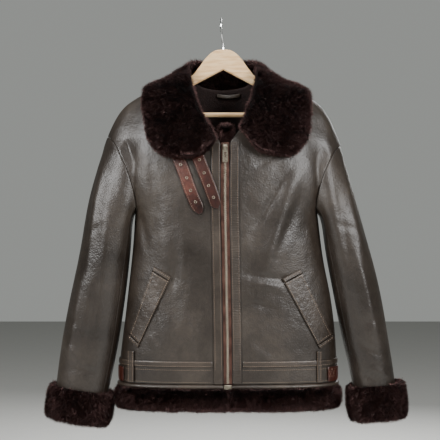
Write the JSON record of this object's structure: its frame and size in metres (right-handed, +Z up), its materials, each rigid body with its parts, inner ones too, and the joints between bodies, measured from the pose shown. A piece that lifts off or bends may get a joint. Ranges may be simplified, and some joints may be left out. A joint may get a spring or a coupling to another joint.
{
  "type": "hanging shearling jacket",
  "caption": "Leather flying jacket lined with sheepskin, hanging from a wooden hanger: pile collar, cuffs and hem, front zip, slanted welt pockets and collar straps",
  "frame": {"origin": "Inside top of the hanger hook's crook, where a rail carries it", "axes": "+X to the viewer's right, +Y towards the back of the jacket, +Z up; the zip faces -Y"},
  "size_m": [0.7985, 0.2123, 0.897],
  "materials": {
    "leather": "semi-gloss, fine pebble grain",
    "pile": "dense sheepskin pile with lighter tips",
    "strap_leather": "smooth, lighter worn edges",
    "zip_tape": "woven cotton tape",
    "zip_metal": "antique nickel",
    "beech": "satin lacquer",
    "hook_wire": "polished"
  },
  "bodies": {
    "jacket": {"back": "leather", "band_back": "leather", "band_left": "leather", "band_right": "leather", "collar": "pile", "collar_strap_inner": "strap_leather", "collar_strap_outer": "strap_leather", "cuff_left": "pile", "cuff_right": "pile", "front_left": "leather", "front_right": "leather", "front_strip_left": "leather", "front_strip_right": "leather", "hanger_bar": "beech", "hanger_hook": "hook_wire", "hanger_wood": "beech", "hanging_loop": "leather", "hem_binding_back": "leather", "hem_binding_left": "leather", "hem_binding_right": "leather", "hem_fur_back": "pile", "hem_fur_left": "pile", "hem_fur_right": "pile", "neck_fur": "pile", "pocket_cap_lower_left": "leather", "pocket_cap_lower_right": "leather", "pocket_cap_upper_left": "leather", "pocket_cap_upper_right": "leather", "pocket_welt_left": "leather", "pocket_welt_right": "leather", "side_binding_left": "leather", "side_binding_right": "leather", "side_strap_left": "strap_leather", "side_strap_right": "strap_leather", "sleeve_left_under": "leather", "sleeve_left_upper": "leather", "sleeve_right_under": "leather", "sleeve_right_upper": "leather", "waist_strip_back": "leather", "waist_strip_left": "leather", "waist_strip_right": "leather", "zip_box": "zip_metal", "zip_chain": "zip_metal", "zip_slider": "zip_metal", "zip_tape_left": "zip_tape", "zip_tape_right": "zip_tape"},
    "zip_pull": {"zip_pull": "zip_metal"}
  },
  "joints": [
    {"name": "pull_tab_swing", "type": "hinge", "parent": "jacket", "child": "zip_pull", "pos_m": [0.00889, -0.09209, -0.283], "axis": [-1, 0, 0], "range_deg": [0, 130]}
  ]
}
